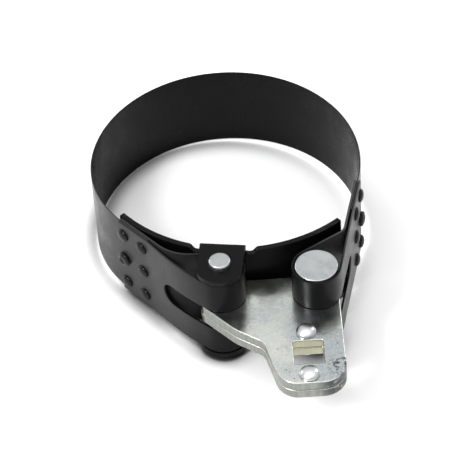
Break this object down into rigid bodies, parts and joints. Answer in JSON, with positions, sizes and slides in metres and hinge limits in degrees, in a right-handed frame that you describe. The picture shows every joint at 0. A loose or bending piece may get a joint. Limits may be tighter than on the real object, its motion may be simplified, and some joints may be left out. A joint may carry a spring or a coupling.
{
  "type": "oil filter wrench",
  "caption": "Band oil filter wrench: steel band, two riveted looped straps on pins, a pressed shoe and a two-plate lever with a square drive hole.",
  "frame": {"origin": "bottom centre of the whole wrench's box at rest, with the lower end of the pivot pin at z = 0", "axes": "+Y from the lever's end to the far side of the ring, +Z along the pins and the band's width, +X to the side of the link pin; the drive square's sides lie along X and Y"},
  "size_m": [0.1224, 0.181, 0.0528],
  "materials": {
    "black_paint": "semi-gloss black paint on spring steel and pressed steel",
    "black_rivet": "gloss black painted rivet",
    "zinc_plate": "bright zinc plating on stamped steel plate, faint pale green and cream tint",
    "bright_steel": "bright cut steel pin ends"
  },
  "bodies": {
    "band": {"band": "black_paint"},
    "left_strap": {"left_strap": "black_paint", "left_rivet_end_upper": "black_rivet", "left_rivet_end_middle": "black_rivet", "left_rivet_end_lower": "black_rivet", "left_rivet_leg_upper": "black_rivet", "left_rivet_leg_middle": "black_rivet", "left_rivet_leg_lower": "black_rivet"},
    "right_strap": {"right_strap": "black_paint", "right_rivet_end_upper": "black_rivet", "right_rivet_end_middle": "black_rivet", "right_rivet_end_lower": "black_rivet", "right_rivet_leg_upper": "black_rivet", "right_rivet_leg_middle": "black_rivet", "right_rivet_leg_lower": "black_rivet"},
    "lever": {"lever_upper_plate": "zinc_plate", "lever_lower_plate": "zinc_plate", "lever_rivet_rear": "zinc_plate", "lever_rivet_front": "zinc_plate", "link_pin": "bright_steel", "link_pin_collar": "bright_steel"},
    "shoe": {"shoe": "black_paint", "pivot_pin": "bright_steel", "pivot_bush_upper": "bright_steel", "pivot_bush_lower": "bright_steel"}
  },
  "joints": [
    {"name": "left_flex", "type": "hinge", "parent": "band", "child": "left_strap", "pos_m": [-0.04853, -0.00229, 0.0264], "axis": [0, 0, 1], "range_deg": [-2, 10], "deforming": ["band"]},
    {"name": "right_flex", "type": "hinge", "parent": "band", "child": "right_strap", "pos_m": [0.05747, 0.01171, 0.0264], "axis": [0, 0, 1], "range_deg": [-1, 5]},
    {"name": "lever_pivot", "type": "hinge", "parent": "left_strap", "child": "lever", "pos_m": [-0.00573, -0.03609, 0.0264], "axis": [0, 0, 1], "range_deg": [-22, 4]},
    {"name": "shoe_pivot", "type": "hinge", "parent": "left_strap", "child": "shoe", "pos_m": [-0.00573, -0.03609, 0.0264], "axis": [0, 0, 1], "range_deg": [-1.5, 0.5]}
  ],
  "couplings": [
    {"joint": "left_flex", "follows": "lever_pivot", "ratio": -0.4313},
    {"joint": "right_flex", "follows": "lever_pivot", "ratio": -0.202}
  ]
}
